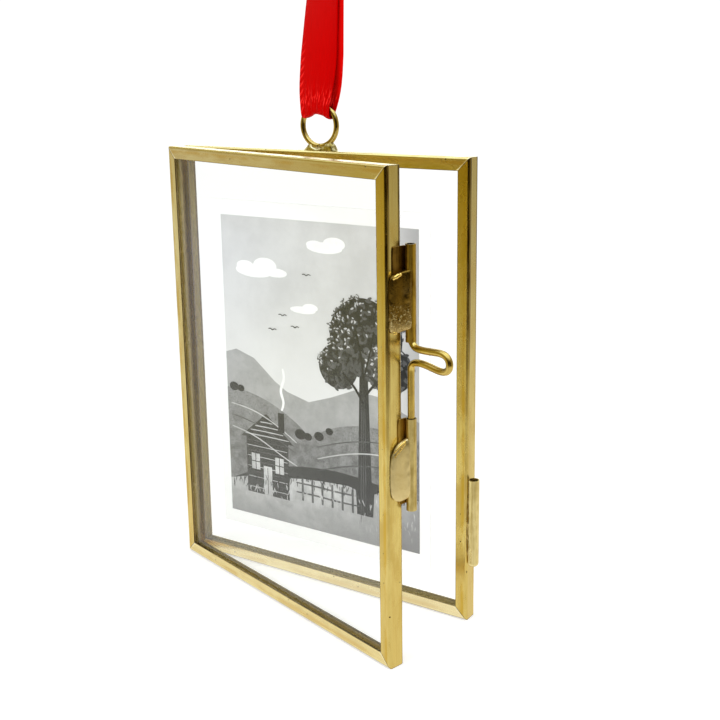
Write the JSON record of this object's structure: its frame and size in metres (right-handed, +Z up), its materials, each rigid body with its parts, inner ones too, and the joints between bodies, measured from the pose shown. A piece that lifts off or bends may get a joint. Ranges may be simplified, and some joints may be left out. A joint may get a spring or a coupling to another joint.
{
  "type": "hinged photo frame ornament",
  "caption": "Hanging ornament of hinged brass channel frames with glass panes, a photo card, a sliding wire bolt, a ring and a ribbon loop.",
  "frame": {"origin": "centre of the underside of the back frame's bottom rail", "axes": "+Z up, +X to the right seen from the front, +Y away from the viewer; the door opens towards -Y"},
  "size_m": [0.0839, 0.0292, 0.1706],
  "materials": {
    "channel_brass": "aged, satin",
    "tube_brass": "aged, satin",
    "wire_brass": "aged, glossy",
    "solder": "brass-washed solder, matt to glossy",
    "pane_glass": "clear, polished",
    "card_stock": "matt white",
    "print_light": "matt pale grey ink",
    "print_mid": "matt mid grey ink",
    "print_dark": "matt dark grey ink",
    "ribbon_satin": "red satin"
  },
  "bodies": {
    "back_frame": {"back_top_rail": "channel_brass", "back_bottom_rail": "channel_brass", "back_left_rail": "channel_brass", "back_right_rail": "channel_brass", "back_pane": "pane_glass", "photo_card": "card_stock", "photo_print": "print_light", "print_mid_tones": "print_mid", "print_dark_tones": "print_dark", "hanging_ring": "wire_brass", "ring_solder": "solder", "hanging_ribbon": "ribbon_satin", "keeper_tube": "tube_brass", "keeper_solder": "solder", "upper_hinge_leaf": "tube_brass", "lower_hinge_leaf": "tube_brass", "hinge_pin": "wire_brass"},
    "door": {"door_top_rail": "channel_brass", "door_bottom_rail": "channel_brass", "door_left_rail": "channel_brass", "door_right_rail": "channel_brass", "door_pane": "pane_glass", "upper_guide_tube": "tube_brass", "lower_guide_tube": "tube_brass", "upper_guide_solder": "solder", "lower_guide_solder": "solder", "middle_hinge_leaf": "tube_brass"},
    "latch": {"latch_bolt": "wire_brass"}
  },
  "joints": [
    {"name": "door_hinge", "type": "hinge", "parent": "back_frame", "child": "door", "pos_m": [-0.0374, -0.0019, 0.0482], "axis": [0, 0, -1], "range_deg": [-15.8, 154.2]},
    {"name": "latch_slide", "type": "slide", "parent": "door", "child": "latch", "axis": [0, 0, -1], "range_m": [0, 0.0095]}
  ]
}
